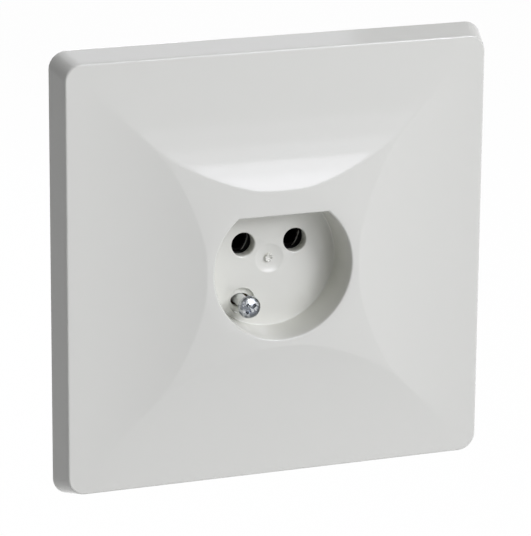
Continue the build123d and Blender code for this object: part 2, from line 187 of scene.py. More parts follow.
def softened_copy(name, node, width):
    """A copy of a CAD node with its edges broken by that many millimetres."""
    form = bmesh.new()
    form.from_mesh(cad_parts[node].data)
    bmesh.ops.remove_doubles(form, verts=form.verts, dist=SAME_POINT * MM)
    bmesh.ops.dissolve_limit(form, angle_limit=math.radians(FLAT_ANGLE), verts=form.verts, edges=form.edges)
    piece = piece_of(name, form)
    bevel = piece.modifiers.new("broken edges", "BEVEL")
    bevel.width = width * MM
    bevel.segments = 2
    bevel.limit_method = "ANGLE"
    bevel.angle_limit = math.radians(BROKEN_ANGLE)
    return smooth_off(settle(piece), sharp=40)


def dress(piece, material):
    """Gives a finished piece its material and its body."""
    piece.data.materials.clear()
    piece.data.materials.append(material)
    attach(piece, "root")


galvanised, tree, place = new_finish("galvanised_sheet")
crystals = {"Vector": place, "Scale": 1 / (SPANGLE_SIZE * MM)}
spangle = tree.node("ShaderNodeTexVoronoi", {}, crystals, "Color")
leaf = tree.node("ShaderNodeSeparateColor", {}, {"Color": spangle}, "Red")
dulled = noise(tree, place, DULLING_SIZE, 4)
close_finish(tree, {
    "Base Color": tint(tree, leaf * 0.7 + dulled * 0.3, SPANGLE_DARK, SPANGLE_PALE),
    "Metallic": 1.0,
    "Roughness": 0.34 + leaf * 0.14 + dulled * 0.08,
    "Normal": relief_normal(tree, dulled, 0.012),
})
yoke = softened_copy("yoke_sheet", "mounting_yoke", YOKE_EDGE)
dress(yoke, galvanised)
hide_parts("mounting_yoke")

# Entry disc: a flat disc of dark thermoset in the yoke's round hole, behind the floor of the cover's
# well. Its two round holes lead the pins to their sleeves, and the bush of the cover screw holds it.

DISC_EDGE = 0.15
FILLER_SIZE = 0.16  # grains of mineral filler in the resin
FLOW_SIZE = 5.0
RESIN = (0.01, 0.01, 0.011, 1)
FILLER = (0.034, 0.033, 0.031, 1)

dark_moulding, tree, place = new_finish("dark_moulding")
grains = noise(tree, place, FILLER_SIZE, 3)
flow = noise(tree, place, FLOW_SIZE)
close_finish(tree, {
    "Base Color": tint(tree, step_between(tree, grains, 0.5, 0.75), RESIN, FILLER),
    "Roughness": 0.42 + flow * 0.16,
    "Specular IOR Level": 0.22,
    "Normal": relief_normal(tree, grains, 0.01),
})
disc = softened_copy("pin_entry_disc", "entry_disc", DISC_EDGE)
dress(disc, dark_moulding)
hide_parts("entry_disc")

# Front plate and contact block: two mouldings of the same thermoset behind the yoke. The plate holds the
# front ends of the pin sleeves, and the block has a chamber for each pole. Two screws clamp them.

MOULDING_EDGE = 0.2

plate = softened_copy("insert_front_plate", "front_plate", MOULDING_EDGE)
dress(plate, dark_moulding)
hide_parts("front_plate")
block = softened_copy("insert_block", "contact_block", MOULDING_EDGE)
dress(block, dark_moulding)
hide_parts("contact_block")

# Contacts: brass strip rolled into slit sleeves, with near-black painted shade on them round the pin holes,
# steel springs clipped round them, and brass cages and a bush cut from bar. They lie in the block's chambers,
# and of them only the dark mouths of the sleeves can be seen, through the pin holes.

PIN_HOLES = ((-5.35, 3.17), (5.35, 3.17))
SLEEVE_OUTSIDE = 2.75
PAINTED_SHADE_SPREAD = 1.7  # by which the painted shade reaches past a sleeve
PAINTED_SHADE_FADE = 0.4
SLEEVE_PAINTED_SHADE = (0.012, 0.011, 0.01, 1)
STREAK_SIZE = 0.12
TARNISH_SIZE = 1.6


def metal_look(tree, place, pale, dark, rough, streak):
    """Shader sockets of a metal with a little tarnish, and with streaks drawn out along an axis."""
    drawn = tree.node("ShaderNodeMapping", {}, {"Vector": place, "Scale": streak})
    streaks = noise(tree, drawn, STREAK_SIZE, 3)
    tarnish = noise(tree, place, TARNISH_SIZE, 4)
    return {
        "Base Color": tint(tree, step_between(tree, tarnish, 0.35, 0.75), pale, dark),
        "Metallic": 1.0,
        "Roughness": rough + streaks * 0.12 + tarnish * 0.1,
        "Normal": relief_normal(tree, streaks, 0.004),
    }


def metal_finish(name, pale, dark, rough, streak):
    """A drawn or machined metal, as one material."""
    material, tree, place = new_finish(name)
    close_finish(tree, metal_look(tree, place, pale, dark, rough, streak))
    return material


brass_sheet, tree, place = new_finish("brass_sheet")
look = metal_look(
    tree, place, pale=(0.8, 0.62, 0.33, 1), dark=(0.6, 0.43, 0.2, 1), rough=0.24, streak=(1, 0.06, 1))
across, _, up = place.axes()
aside, above = abs(across) - PIN_HOLES[1][0] * MM, up - PIN_HOLES[1][1] * MM
off_axis = tree.math("SQRT", aside * aside + above * above)
# Painted shade: near-black and rougher over the brass within a set distance of each pin's axis, where the
# holes lie in shade.
painted_shade_end = SLEEVE_OUTSIDE + PAINTED_SHADE_SPREAD
painted_shade = 1 - step_between(tree, off_axis, painted_shade_end * MM, (painted_shade_end + PAINTED_SHADE_FADE) * MM)
look["Base Color"] = tint(tree, painted_shade, look["Base Color"], SLEEVE_PAINTED_SHADE)
look["Roughness"] = look["Roughness"] + painted_shade * 0.3
close_finish(tree, look)
brass_turning = metal_finish(
    "brass_turning", pale=(0.78, 0.6, 0.3, 1), dark=(0.6, 0.44, 0.2, 1), rough=0.2, streak=(0.1, 1, 0.1))
spring_steel = metal_finish(
    "spring_steel", pale=(0.42, 0.42, 0.44, 1), dark=(0.3, 0.29, 0.3, 1), rough=0.3, streak=(1, 0.08, 1))
# The bush's brass is painted dark brown: painted shade for where it lies down the screw's hole.
dull_brass = metal_finish(
    "dull_brass", pale=(0.1, 0.08, 0.05, 1), dark=(0.05, 0.042, 0.03, 1), rough=0.45, streak=(0.1, 1, 0.1))
INNER_PIECES = {  # slot, material and width of the broken edges
    "contact": ("brass_sheet", brass_sheet, 0.1),
    "contact_spring": ("spring_steel", spring_steel, 0.06),
    "terminal_cage": ("brass_turning", brass_turning, 0.12),
}
BUSH_EDGE = 0.12
for side in ("line", "neutral"):
    for kind, (slot, material, width) in INNER_PIECES.items():
        inner = softened_copy(f"{side}_{kind}_metal", f"{side}_{kind}", width)
        dress(inner, material)
        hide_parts(f"{side}_{kind}")
bush = softened_copy("cover_screw_bush_metal", "cover_screw_bush", BUSH_EDGE)
dress(bush, dull_brass)
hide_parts("cover_screw_bush")

# Terminal screws: slotted cheese-head machine screws of zinc-plated steel, with a rolled thread. Each
# turns in the thick wall of its cage and clamps a wire, reached through a hole under the block.

TERMINAL_HEAD_RADIUS = 2.5
TERMINAL_HEAD_HEIGHT = 2.2
TERMINAL_HEAD_EDGE = 0.5
TERMINAL_SLOT_WIDTH = 0.8
TERMINAL_SLOT_DEPTH = 1.0
TERMINAL_SCREW_LENGTH = 6.6
SMALL_ROUND = 64  # points round a small turned form
SHANK_OVERLAP = 0.3  # by which a shank starts inside its head
UNDER_BREAK = 0.12  # broken edge under a cheese head
CUTTER_RISE = 0.5  # by which a cutter stands out of the head that it cuts
SLOT_HALF_LENGTH = 4.0  # past the rim of the head
THREAD_AROUND = 32
THREAD_STEPS = 8  # rows of points in each turn of a thread
THREAD_FLANK = (0.15, 0.85)  # shares of half a turn between which a flank rises
THREAD_SEAM = 0.0005  # distance within which points of a thread are one
THREAD_SLIVER = 0.0002
CLOUD_SIZE = 0.9
MARK_SIZE = 0.09
ZINC_DARK = (0.2, 0.215, 0.24, 1)
ZINC_PALE = (0.56, 0.58, 0.6, 1)


def spaced(first, last, steps):
    """Evenly spaced values, with both ends."""
    return [first + (last - first) * k / steps for k in range(steps + 1)]


def arc(steps, first, last):
    """Evenly spaced angles, with both ends given in degrees."""
    return [math.radians(a) for a in spaced(first, last, steps)]


def around(steps):
    """Angles of evenly spaced points round a circle."""
    return [2 * math.pi * k / steps for k in range(steps)]


def new_rule(name, inputs):
    """A Geometry Nodes tree that gives a geometry, and its named inputs."""
    tree = bpy.data.node_groups.new(name, "GeometryNodeTree")
    for label, kind in inputs.items():
        tree.interface.new_socket(name=label, in_out="INPUT", socket_type="NodeSocket" + kind)
    tree.interface.new_socket(name="Geometry", in_out="OUTPUT", socket_type="NodeSocketGeometry")
    given = tree.nodes.new("NodeGroupInput")
    return Wire(tree), {label: Wire(tree, given.outputs[label]) for label in inputs}


def close_rule(rule, geometry, material):
    """Ends a rule in real geometry with its material."""
    real = rule.node("GeometryNodeRealizeInstances", {}, {"Geometry": geometry})
    dressed = rule.node("GeometryNodeSetMaterial", {}, {"Geometry": real, "Material": material})
    rule.node("NodeGroupOutput", {}, {"Geometry": dressed})
    return rule.tree


def thread_rule():
    """Rule for a rolled thread: a grid wound round the Y axis, whose rows climb one pitch in each turn."""
    lengths = ("Core radius", "Crest radius", "Pitch", "Length", "Point chamfer")
    inputs = dict.fromkeys(lengths, "Float") | {"Rows": "Int", "Material": "Material"}
    rule, size = new_rule("rolled_thread", inputs)
    sheet = {"Size X": 1.0, "Size Y": 1.0, "Vertices X": THREAD_AROUND + 1, "Vertices Y": size["Rows"]}
    grid = rule.node("GeometryNodeMeshGrid", {}, sheet)
    across, along, _ = rule.node("GeometryNodeInputPosition").axes()
    turn = across + 0.5
    row = rule.math("ROUND", (along + 0.5) * (size["Rows"] - 1))
    climb = (row / THREAD_STEPS + turn - 1) * size["Pitch"]
    flank = 1 - abs(2 * rule.math("FRACT", row / THREAD_STEPS) - 1)
    swell = step_between(rule, flank, *THREAD_FLANK) * (size["Crest radius"] - size["Core radius"])
    point = size["Crest radius"] - size["Point chamfer"] + (size["Length"] - climb)
    inside = rule.math("GREATER_THAN", climb, 0.0) * rule.math("LESS_THAN", climb, size["Length"])
    radius = rule.math("MINIMUM", size["Core radius"] + swell, point) * inside
    depth = rule.math("MINIMUM", rule.math("MAXIMUM", climb, 0.0), size["Length"])
    angle = turn * (2 * math.pi)
    wound = rule.node("ShaderNodeCombineXYZ", {}, {
        "X": radius * rule.math("COSINE", angle), "Y": depth, "Z": radius * rule.math("SINE", angle)})
    moved = rule.node("GeometryNodeSetPosition", {}, {"Geometry": grid, "Position": wound})
    closed = rule.node("GeometryNodeMergeByDistance", {}, {"Geometry": moved, "Distance": THREAD_SEAM * MM})
    return close_rule(rule, closed, size["Material"])


def set_inputs(modifier, values):
    """Sets a node modifier's named inputs by their identifiers."""
    for item in modifier.node_group.interface.items_tree:
        if item.in_out == "INPUT" and item.name in values:
            modifier[item.identifier] = values[item.name]


rolled_thread = thread_rule()


def threaded_shank(name, material, core, crest, pitch, length, chamfer):
    """A closed threaded shank from the origin along +Y."""
    piece = add_piece(name, bpy.data.meshes.new(name))
    made = piece.modifiers.new("thread", "NODES")
    made.node_group = rolled_thread
    set_inputs(made, {
        "Core radius": core * MM, "Crest radius": crest * MM, "Pitch": pitch * MM, "Length": length * MM,
        "Point chamfer": chamfer * MM, "Rows": int((length / pitch + 1) * THREAD_STEPS) + 2,
        "Material": material})
    settle(piece)
    form = bmesh.new()
    form.from_mesh(piece.data)
    bmesh.ops.dissolve_degenerate(form, dist=THREAD_SLIVER * MM, edges=form.edges)
    bmesh.ops.recalc_face_normals(form, faces=form.faces)
    form.to_mesh(piece.data)
    form.free()
    return piece


def bridge(form, rows):
    """Faces between each closed row of points and the next, with no corner twice at a pole."""
    for low, high in zip(rows, rows[1:]):
        for k in range(len(low)):
            corners = [low[k], low[k - 1], high[k - 1], high[k]]
            form.faces.new([v for i, v in enumerate(corners) if v not in corners[:i]])


def turned(name, profile, segments):
    """A closed form turned about the Y axis from (radius, y) points in millimetres, pole to pole."""
    form = bmesh.new()
    rows = []
    for radius, y in profile:
        if radius == 0:
            rows.append([form.verts.new((0, y * MM, 0))] * segments)
            continue
        ring = [(radius * math.cos(a), y, radius * math.sin(a)) for a in around(segments)]
        rows.append([form.verts.new([c * MM for c in point]) for point in ring])
    bridge(form, rows)
    bmesh.ops.recalc_face_normals(form, faces=form.faces)
    return piece_of(name, form)


def lofted(name, rows):
    """A closed form through rows of as many (x, y, z) points, in millimetres."""
    form = bmesh.new()
    rows = [[form.verts.new([c * MM for c in point]) for point in row] for row in rows]
    bridge(form, rows)
    form.faces.new(rows[0])
    form.faces.new(rows[-1][::-1])
    bmesh.ops.recalc_face_normals(form, faces=form.faces)
    return piece_of(name, form)


def prism(name, stations):
    """A closed form through flat outlines of as many (x, z) points, each at its y."""
    return lofted(name, [[(x, y, z) for x, z in outline] for y, outline in stations])


def combine(piece, other, operation):
    """Joins another form to a piece or cuts it out of the piece, and removes the other form."""
    made = piece.modifiers.new("combine", "BOOLEAN")
    made.operation = operation
    made.solver = "EXACT"
    made.object = other
    settle(piece)
    bpy.data.objects.remove(other)


def join_shank(screw, shank, start):
    """Joins a shank to a screw's head, starting at that y."""
    shank.data.transform(Matrix.Translation((0, start * MM, 0)))
    combine(screw, shank, "UNION")


def cheese_profile(radius, height, edge):
    """Half section of a flat-topped head whose underside is at y = 0 and whose top is at -height."""
    rim = [(0, 0), (radius - UNDER_BREAK, 0), (radius, -UNDER_BREAK), (radius, edge - height)]
    for a in arc(6, 0, 90)[1:]:
        rim.append((radius - edge + edge * math.cos(a), edge - height - edge * math.sin(a)))
    return rim + [(0, -height)]


def slot_cutter(width, depth, height):
    """Sawn slot right across a head of that height, with a flat bottom."""
    far, side = SLOT_HALF_LENGTH, width / 2
    outline = [(-far, -side), (far, -side), (far, side), (-far, side)]
    return prism("slot", [(-height - CUTTER_RISE, outline), (depth - height, outline)])


def zinc_look(tree, place):
    """Shader sockets of bright zinc plate: a cool grey metal, slightly cloudy and marked."""
    cloud = noise(tree, place, CLOUD_SIZE, 3)
    mark = noise(tree, place, MARK_SIZE, 3)
    return {
        "Base Color": tint(tree, step_between(tree, cloud, 0.42, 0.58), ZINC_DARK, ZINC_PALE),
        "Metallic": 1.0,
        "Roughness": 0.07 + cloud * 0.08 + mark * 0.08,
        "Normal": relief_normal(tree, mark, 0.01),
    }


def placing_rule():
    """Rule that sets a copy of one form on each point, turned by the point's own attribute."""
    inputs = {"Geometry": "Geometry", "Form": "Object", "Material": "Material"}
    rule, given = new_rule("placed_copies", inputs)
    form = rule.node("GeometryNodeObjectInfo", {}, {"Object": given["Form"]}, "Geometry")
    turn = rule.node("GeometryNodeInputNamedAttribute", {"data_type": "FLOAT_VECTOR"}, {"Name": "turn"})
    euler = rule.node("FunctionNodeEulerToRotation", {}, {0: turn})
    copies = rule.node("GeometryNodeInstanceOnPoints", {}, {
        "Points": given["Geometry"], "Instance": form, "Rotation": euler})
    return close_rule(rule, copies, given["Material"])


placed_copies = placing_rule()


def place_copies(name, form, places, material):
    """One piece with a copy of a form at each (point, turn), and the form itself removed."""
    mesh = bpy.data.meshes.new(name)
    mesh.from_pydata([[c * MM for c in point] for point, turn in places], [], [])
    turns = mesh.attributes.new("turn", "FLOAT_VECTOR", "POINT")
    for item, (point, turn) in zip(turns.data, places):
        item.vector = [math.radians(a) for a in turn]
    piece = add_piece(name, mesh)
    made = piece.modifiers.new("places", "NODES")
    made.node_group = placed_copies
    set_inputs(made, {"Form": form, "Material": material})
    settle(piece)
    bpy.data.objects.remove(form)
    return smooth_off(piece)


def middle_of(low, high):
    """Middle of a node's box, in millimetres."""
    return [(a + b) / 2 / MM for a, b in zip(low, high)]


zinc_plate, tree, place = new_finish("zinc_plate")
close_finish(tree, zinc_look(tree, place))
terminal_head = cheese_profile(TERMINAL_HEAD_RADIUS, TERMINAL_HEAD_HEIGHT, TERMINAL_HEAD_EDGE)
terminal_screw = turned("terminal_screw_form", terminal_head, SMALL_ROUND)
terminal_slot = slot_cutter(TERMINAL_SLOT_WIDTH, TERMINAL_SLOT_DEPTH, TERMINAL_HEAD_HEIGHT)
combine(terminal_screw, terminal_slot, "DIFFERENCE")
terminal_shank = threaded_shank(
    "terminal_shank", zinc_plate, core=1.2, crest=1.5, pitch=0.5, length=TERMINAL_SCREW_LENGTH, chamfer=0.5)
join_shank(terminal_screw, terminal_shank, -SHANK_OVERLAP)
terminal_places = []
for side in ("neutral", "line"):
    low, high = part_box(f"{side}_terminal_screw")
    x, y, _ = middle_of(low, high)
    terminal_places.append(((x, y, high.z / MM - TERMINAL_SCREW_LENGTH), (90, 0, 0)))
terminal_screws = place_copies("terminal_screws", terminal_screw, terminal_places, zinc_plate)
dress(terminal_screws, zinc_plate)
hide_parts("line_terminal_screw", "neutral_terminal_screw")

# Steadying strips: two short bowed strips of tinned steel, which lie in the front plate's windows between
# the entry disc and the sleeves. Of each, only the front edge can be seen, through its pin hole, and its
# near-white matte colour is a painted highlight for that lit edge.

STRIP_SHEET = 0.15
STRIP_BOW = 6.0  # radius that a strip is bent to
STRIP_SPREAD = 18  # half of the angle that it covers, in degrees
STRIP_AWAY = 2.3  # pin's axis to the strip
STRIP_LEAN = -24  # degrees
STRIP_FRONT = 0.35
STRIP_BACK = 0.66
STAIN_SIZE = 0.4
STRIP_PAINTED_LIGHT_DIM = (0.7, 0.68, 0.62, 1)
STRIP_PAINTED_LIGHT = (0.95, 0.93, 0.86, 1)


def swung(points, degrees):
    """The (x, z) points of an outline, turned about its middle."""
    c, s = math.cos(math.radians(degrees)), math.sin(math.radians(degrees))
    return [(x * c - z * s, x * s + z * c) for x, z in points]


def bowed_strip():
    """One strip beside a pin whose axis is the Y axis."""
    outline = []
    for radius, order in ((STRIP_BOW + STRIP_SHEET / 2, 1), (STRIP_BOW - STRIP_SHEET / 2, -1)):
        for angle in arc(12, -STRIP_SPREAD, STRIP_SPREAD)[::order]:
            outline.append((STRIP_AWAY - STRIP_BOW + radius * math.cos(angle), radius * math.sin(angle)))
    outline = swung(outline, STRIP_LEAN)
    return prism("bowed_strip", [(STRIP_FRONT, outline), (STRIP_BACK, outline)])


# Near-white matte colour on the strips, a painted highlight where their front edges catch light; the stain
# noise varies it at random.
tinned_strip, tree, place = new_finish("tinned_strip")
stain = noise(tree, place, STAIN_SIZE, 3)
close_finish(tree, {
    "Base Color": tint(tree, stain, STRIP_PAINTED_LIGHT_DIM, STRIP_PAINTED_LIGHT),
    "Roughness": 0.4 + stain * 0.2,
})
strip_places = [((x, 0, z), (0, 0, 0)) for x, z in PIN_HOLES]
strips = place_copies("steadying_strips", bowed_strip(), strip_places, tinned_strip)
dress(strips, tinned_strip)

# Rear cover: a plate of the same dark moulding that closes the chambers. Its posts keep the cages in
# place, and the two holes let the wires in.

rear = softened_copy("insert_rear_cover", "rear_cover", MOULDING_EDGE)
dress(rear, dark_moulding)
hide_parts("rear_cover")

# Tapping screws: four zinc-plated pan heads with a cross. Two hold the yoke to the block from the
# front and two hold the rear cover from behind.

TAPPING_NODES = ("yoke_screw_left", "yoke_screw_right", "rear_cover_screw_upper", "rear_cover_screw_lower")
TAPPING_HEAD_RADIUS = 2.4
TAPPING_HEAD_HEIGHT = 1.6
TAPPING_HEAD_RIM = 0.4
TAPPING_LENGTH = 8.0
PAN_UNDERSIDE = ((0.14, 0), (0.03, 0.05), (0, 0.16))  # its broken edge: in from the rim, up from the seat
CROSS_TURN = 42  # degrees
CROSS_MOUTH = 0.56  # share of a cross's span and width above the head
CROSS_TAPER = ((0.15, 0.5, 0.5), (0.75, 0.3, 0.42), (1.0, 0.16, 0.14))  # shares of its depth, span and width


def pan_profile(radius, height, rim):
    """Half section of a domed head whose underside is at y = 0 and whose top is at -height."""
    edge = [(0, 0)] + [(radius - inward, -up) for inward, up in PAN_UNDERSIDE] + [(radius, -rim)]
    dome = [(radius * math.cos(a), -rim - (height - rim) * math.sin(a)) for a in arc(12, 0, 90)[1:-1]]
    return edge + dome + [(0, -height)]


def cross_cutter(span, width, depth, height):
    """Tapered cross with a pointed bottom, driven into a head of that height from above."""
    def arms(reach, half):
        corners = [(half, half), (half, reach), (-half, reach)]
        for _ in range(3):
            corners += [(-z, x) for x, z in corners[-3:]]
        return swung(corners, CROSS_TURN)

    stations = [(-height - CUTTER_RISE, arms(span * CROSS_MOUTH, width * CROSS_MOUTH))]
    stations += [(depth * deep - height, arms(span * long, width * wide)) for deep, long, wide in CROSS_TAPER]
    return prism("cross", stations)


tapping_head = pan_profile(TAPPING_HEAD_RADIUS, TAPPING_HEAD_HEIGHT, TAPPING_HEAD_RIM)
tapping_screw = turned("tapping_screw_form", tapping_head, SMALL_ROUND)
tapping_cross = cross_cutter(span=2.6, width=0.7, depth=1.0, height=TAPPING_HEAD_HEIGHT)
combine(tapping_screw, tapping_cross, "DIFFERENCE")
tapping_shank = threaded_shank(
    "tapping_shank", zinc_plate, core=0.95, crest=1.3, pitch=1.0, length=TAPPING_LENGTH + SHANK_OVERLAP,
    chamfer=1.0)
join_shank(tapping_screw, tapping_shank, -SHANK_OVERLAP)
tapping_places = []
for node in TAPPING_NODES:
    low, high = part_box(node)
    x, _, z = middle_of(low, high)
    if node.startswith("yoke"):
        tapping_places.append(((x, low.y / MM + TAPPING_HEAD_HEIGHT, z), (0, 0, 0)))
    else:
        tapping_places.append(((x, high.y / MM - TAPPING_HEAD_HEIGHT, z), (0, 0, 180)))
tapping_screws = place_copies("tapping_screws", tapping_screw, tapping_places, zinc_plate)
dress(tapping_screws, zinc_plate)
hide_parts(*TAPPING_NODES)

# Cover plate: a white injection moulding with a slight gloss. Four scoops rise from a flat border to a
# crown round the D-shaped plug well, whose floor is welded in. The flared sides stand out past a set-back
# skirt, which meets the ceiling, and ribs stiffen the hollow behind the corners.

PLATE_HALF = 42.5
RIM_HEIGHT = 9.0  # ceiling to the face's border
SIDE_DRAFT = math.radians(14.5)
SIDE_DEPTH = 6.0  # flared side, in front of the skirt
SKIRT_HALF = 42.9
HOLLOW_DRAFT = math.radians(5.0)
CORNER_RADIUS = 3.4
EDGE_RADIUS = 0.45
REAR_RADIUS = 0.2  # edges of the flared side and the skirt behind
REAR_GUARD = 0.1  # from the flared side's rear edge to a ring that keeps its shading straight
COVER_WALL = 2.0
TURN_IN = 0.5  # rounding between the hollow's sides and the back of the face
FACE_BORDER = 3.0
RELIEF = 3.3  # border to the crown
CREASE_REACH = 15.5  # plate's middle to the nearest point of each scoop's crease
CROWN_RADIUS = 15.78  # where the crown turns down into its arms
CROWN_SLOPE = math.radians(6.16)
CROWN_BLEND = 24.0
ARM_REACH = 36.0
CREASE_SOFTNESS = 0.1
CREASE_BAND = 0.5  # to each side of a crease, where rings of points lie closer
CREASE_ROOM = 0.1  # least distance from the well's lip to that band
MOUTH_RADIUS = 14.1
MOUTH_FLAT = 10.7
WELL_TAPER = 0.45
LIP_RADIUS = 0.35
FOOT_RADIUS = 0.3  # rounding round the well's floor
FLOOR_HEIGHT = 4.1
FLOOR_BACK = 1.6
TUBE_OFFSET = 1.15  # outside of the well's wall, measured from its mouth
TUBE_FILLET = 0.3  # between the well's wall and the back of the face
TUBE_BREAK = 0.15  # edge at the wall's rear end
CROWN_HEIGHT = RIM_HEIGHT + RELIEF
SCOOP_START = PLATE_HALF - FACE_BORDER
SCOOP_RADIUS = ((SCOOP_START - CREASE_REACH) ** 2 + RELIEF**2) / (2 * RELIEF)
BLEND_START = CROWN_RADIUS - CROWN_BLEND * math.tan(CROWN_SLOPE / 2)
BLEND_END = BLEND_START + CROWN_BLEND * math.sin(CROWN_SLOPE)
BLEND_DROP = CROWN_BLEND * (1 - math.cos(CROWN_SLOPE))
WELL_CORNER = math.asin((MOUTH_FLAT + LIP_RADIUS) / (MOUTH_RADIUS + LIP_RADIUS))
CORNER_SPREAD = 3.4  # degrees to each side of a plate's corner where its points lie closer
CORNER_STEPS = 28
SIDE_STEPS = 92
FLAT_STEPS = 88  # along the well's flat side
LEAD_STEPS = 4  # from a corner of the plate to a corner of the well
TINY = 1e-9


def scoop_rise(across):
    """Rise of one scoop above the border, at a distance from the plate's middle line."""
    run = max(SCOOP_START - across, 0)
    return SCOOP_RADIUS - math.sqrt(SCOOP_RADIUS**2 - run**2)


def crown_rise(reach):
    """Rise of the crown above the border, at a distance from the plate's middle."""
    if reach < BLEND_START:
        return RELIEF
    if reach < BLEND_END:
        return RELIEF - CROWN_BLEND + math.sqrt(CROWN_BLEND**2 - (reach - BLEND_START) ** 2)
    return RELIEF - BLEND_DROP - (min(reach, ARM_REACH) - BLEND_END) * math.tan(CROWN_SLOPE)


def crease_reach(angle):
    """Where the crown meets a scoop along a direction, found by halving."""
    along = max(abs(math.cos(angle)), abs(math.sin(angle)))
    near, far = CREASE_REACH - 1, ARM_REACH
    for _ in range(40):
        middle = (near + far) / 2
        if scoop_rise(middle * along) > crown_rise(middle):
            near = middle
        else:
            far = middle
    return near


def cover_directions():
    """Directions of the cover's points, closer at the plate's corners and exact at the well's corners."""
    well = math.degrees(WELL_CORNER)
    found = []
    for corner in (-45, 45, 135, 225):
        past, following = corner + CORNER_SPREAD, corner + 90 - CORNER_SPREAD
        found += arc(CORNER_STEPS, corner - CORNER_SPREAD, past)[:-1]
        if corner == 45:
            found += arc(LEAD_STEPS, past, well)[:-1]
            found += arc(FLAT_STEPS, well, 180 - well)[:-1]
            found += arc(LEAD_STEPS, 180 - well, following)[:-1]
        else:
            found += arc(SIDE_STEPS, past, following)[:-1]
    return found


DIRECTIONS = cover_directions()


def well_outline(offset):
    """Points of the well's D, moved outwards by an offset, in step with the directions."""
    radius = MOUTH_RADIUS + offset
    flat = MOUTH_FLAT + offset
    corner = math.asin(flat / radius)
    points = []
    for angle in DIRECTIONS:
        angle = angle if angle > WELL_CORNER - TINY else angle + 2 * math.pi
        if angle <= math.pi - WELL_CORNER + TINY:
            share = (angle - WELL_CORNER) / (math.pi - 2 * WELL_CORNER)
            angle = corner + share * (math.pi - 2 * corner)
            reach = flat / math.sin(angle)
        else:
            share = (angle - math.pi + WELL_CORNER) / (math.pi + 2 * WELL_CORNER)
            angle = math.pi - corner + share * (math.pi + 2 * corner)
            reach = radius
        points.append((reach * math.cos(angle), reach * math.sin(angle)))
    return points


def square_reach(angle, half):
    """Distance from the middle to the rounded square with that half side, along a direction."""
    long = max(abs(math.cos(angle)), abs(math.sin(angle)))
    short = min(abs(math.cos(angle)), abs(math.sin(angle)))
    centre = max(half, PLATE_HALF) - CORNER_RADIUS
    if half * short / long <= centre:
        return half / long
    ahead = centre * (long + short)
    return ahead + math.sqrt(ahead**2 - 2 * centre**2 + (half - centre) ** 2)


def square_outline(half):
    return [(square_reach(a, half) * math.cos(a), square_reach(a, half) * math.sin(a)) for a in DIRECTIONS]


def outside_at(height):
    """Half side of the flared side at a height above the ceiling."""
    return PLATE_HALF + (RIM_HEIGHT - height) * math.tan(SIDE_DRAFT)


def inside_at(height):
    """Half side of the hollow behind the face at a height above the ceiling."""
    return PLATE_HALF - COVER_WALL + (RIM_HEIGHT - height) * math.tan(HOLLOW_DRAFT)


def quarter(radius, steps=4):
    """Steps of a quarter round: what is left of its first direction, and what is done of its second."""
    return [(radius * (1 - math.sin(a)), radius * (1 - math.cos(a))) for a in arc(steps, 0, 90)]


def face_rings(inner, outer, before, within, after):
    """Rings of points over the face from one outline to another, gathered in a band at the crease."""
    rays = []
    for (x0, z0), (x1, z1) in zip(inner, outer):
        first, last = math.hypot(x0, z0), math.hypot(x1, z1)
        turn0, turn1 = math.atan2(z0, x0), math.atan2(z1, x1)
        swing = (turn1 - turn0 + math.pi) % (2 * math.pi) - math.pi
        crease = max(crease_reach(turn0), first + CREASE_BAND + CREASE_ROOM)
        reaches = spaced(first, crease - CREASE_BAND, before)[:-1]
        reaches += spaced(crease - CREASE_BAND, crease + CREASE_BAND, within)[:-1]
        reaches += spaced(crease + CREASE_BAND, last, after)
        turns = [turn0 + swing * share for share in spaced(0, 1, before + within + after)]
        rays.append([(reach * math.cos(turn), reach * math.sin(turn)) for reach, turn in zip(reaches, turns)])
    return list(zip(*rays))


